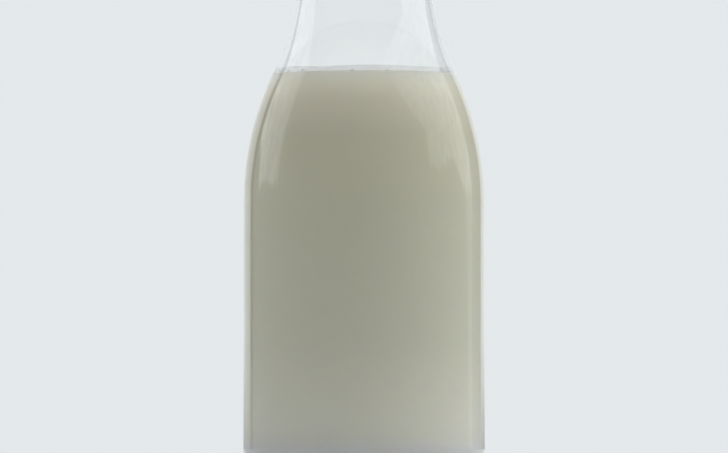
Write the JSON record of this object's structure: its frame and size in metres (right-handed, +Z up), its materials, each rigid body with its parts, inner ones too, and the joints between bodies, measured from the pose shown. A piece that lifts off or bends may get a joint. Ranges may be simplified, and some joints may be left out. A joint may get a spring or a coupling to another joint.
{
  "type": "glass milk bottle",
  "caption": "Round clear glass milk bottle with sloping shoulders, an open neck and a rolled rim, filled with creamy white milk up to the shoulder.",
  "frame": {"origin": "middle of the resting plane under the foot ring", "axes": "+Z up along the bottle's axis, -Y towards the side seen from the front"},
  "size_m": [0.0785, 0.0784, 0.184],
  "materials": {
    "glass": "clear, smooth and glossy",
    "milk": "opaque creamy off-white liquid"
  },
  "bodies": {
    "root": {"bottle": "glass", "milk": "milk"}
  },
  "joints": []
}
